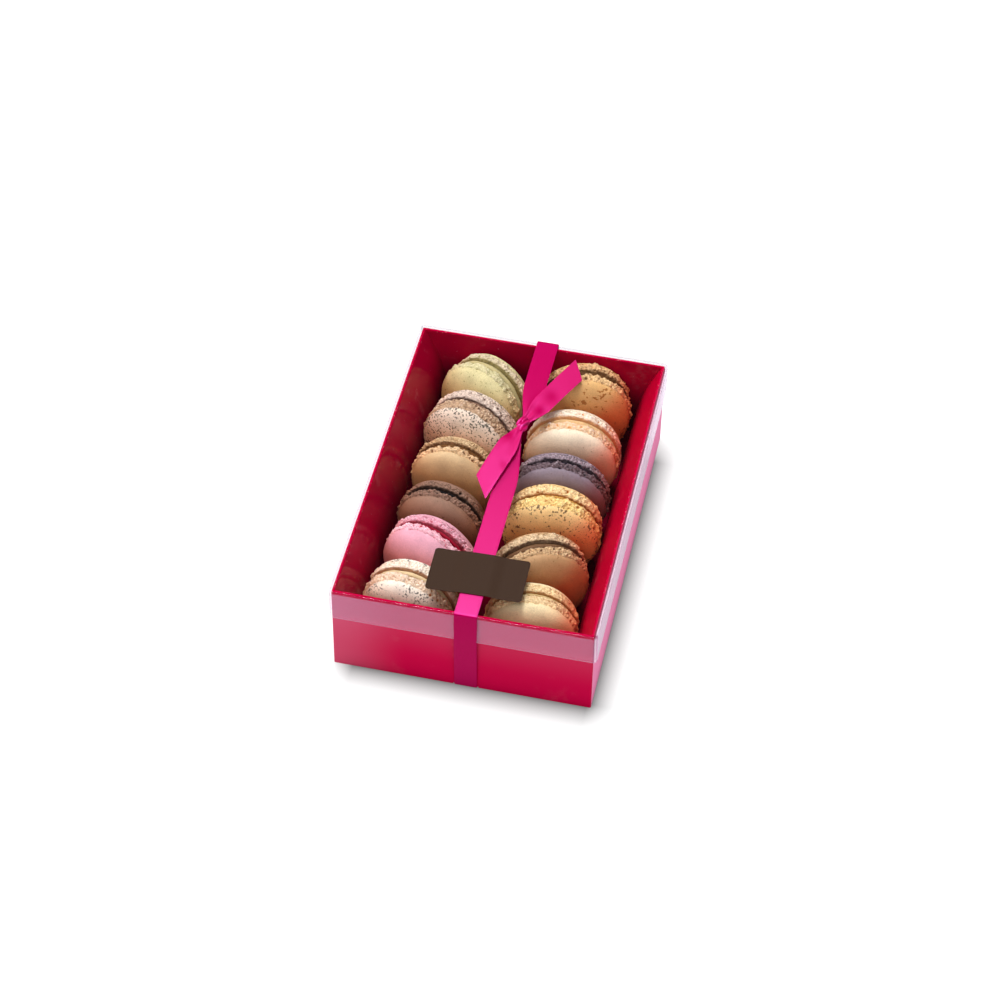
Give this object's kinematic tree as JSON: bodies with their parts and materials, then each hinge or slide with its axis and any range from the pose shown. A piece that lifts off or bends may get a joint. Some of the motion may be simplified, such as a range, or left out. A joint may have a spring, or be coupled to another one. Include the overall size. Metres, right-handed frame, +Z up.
{
  "type": "box of macarons",
  "caption": "Shut gift box: red card tray with two rows of macarons on edge under a clear film lid, tied lengthwise with a pink satin ribbon, and a plain dark label.",
  "frame": {"origin": "middle of the tray's flat underside", "axes": "+Z up out of the tray, +Y along the box's length to its far end, +X to the right; the macarons face -Y"},
  "size_m": [0.1186, 0.1738, 0.0527],
  "materials": {
    "red_card": "glossy coated card, crimson inside and out",
    "clear_film": "clear glossy thermoformed film with a faint milky veil on its skirt",
    "pink_satin": "woven satin ribbon, hot pink with a soft sheen",
    "brown_card": "dark brown satin-coated sticker",
    "almond_left_1": "baked almond meringue, smooth dull top over a crumbly frilled foot",
    "cream_left_1": "soft piped filling with a slight sheen",
    "almond_left_2": "baked almond meringue, smooth dull top over a crumbly frilled foot",
    "cream_left_2": "soft piped filling with a slight sheen",
    "almond_left_3": "baked almond meringue, smooth dull top over a crumbly frilled foot",
    "cream_left_3": "soft piped filling with a slight sheen",
    "almond_left_4": "baked almond meringue, smooth dull top over a crumbly frilled foot",
    "cream_left_4": "soft piped filling with a slight sheen",
    "almond_left_5": "baked almond meringue, smooth dull top over a crumbly frilled foot",
    "cream_left_5": "soft piped filling with a slight sheen",
    "almond_left_6": "baked almond meringue, smooth dull top over a crumbly frilled foot",
    "cream_left_6": "soft piped filling with a slight sheen",
    "almond_right_1": "baked almond meringue, smooth dull top over a crumbly frilled foot",
    "cream_right_1": "soft piped filling with a slight sheen",
    "almond_right_2": "baked almond meringue, smooth dull top over a crumbly frilled foot",
    "cream_right_2": "soft piped filling with a slight sheen",
    "almond_right_3": "baked almond meringue, smooth dull top over a crumbly frilled foot",
    "cream_right_3": "soft piped filling with a slight sheen",
    "almond_right_4": "baked almond meringue, smooth dull top over a crumbly frilled foot",
    "cream_right_4": "soft piped filling with a slight sheen",
    "almond_right_5": "baked almond meringue, smooth dull top over a crumbly frilled foot",
    "cream_right_5": "soft piped filling with a slight sheen",
    "almond_right_6": "baked almond meringue, smooth dull top over a crumbly frilled foot",
    "cream_right_6": "soft piped filling with a slight sheen"
  },
  "bodies": {
    "root": {"tray": "red_card", "lid": "clear_film", "ribbon": "pink_satin", "label": "brown_card", "macaron_left_1_front_shell": "almond_left_1", "macaron_left_1_back_shell": "almond_left_1", "macaron_left_1_filling": "cream_left_1", "macaron_left_2_front_shell": "almond_left_2", "macaron_left_2_back_shell": "almond_left_2", "macaron_left_2_filling": "cream_left_2", "macaron_left_3_front_shell": "almond_left_3", "macaron_left_3_back_shell": "almond_left_3", "macaron_left_3_filling": "cream_left_3", "macaron_left_4_front_shell": "almond_left_4", "macaron_left_4_back_shell": "almond_left_4", "macaron_left_4_filling": "cream_left_4", "macaron_left_5_front_shell": "almond_left_5", "macaron_left_5_back_shell": "almond_left_5", "macaron_left_5_filling": "cream_left_5", "macaron_left_6_front_shell": "almond_left_6", "macaron_left_6_back_shell": "almond_left_6", "macaron_left_6_filling": "cream_left_6", "macaron_right_1_front_shell": "almond_right_1", "macaron_right_1_back_shell": "almond_right_1", "macaron_right_1_filling": "cream_right_1", "macaron_right_2_front_shell": "almond_right_2", "macaron_right_2_back_shell": "almond_right_2", "macaron_right_2_filling": "cream_right_2", "macaron_right_3_front_shell": "almond_right_3", "macaron_right_3_back_shell": "almond_right_3", "macaron_right_3_filling": "cream_right_3", "macaron_right_4_front_shell": "almond_right_4", "macaron_right_4_back_shell": "almond_right_4", "macaron_right_4_filling": "cream_right_4", "macaron_right_5_front_shell": "almond_right_5", "macaron_right_5_back_shell": "almond_right_5", "macaron_right_5_filling": "cream_right_5", "macaron_right_6_front_shell": "almond_right_6", "macaron_right_6_back_shell": "almond_right_6", "macaron_right_6_filling": "cream_right_6"}
  },
  "joints": []
}
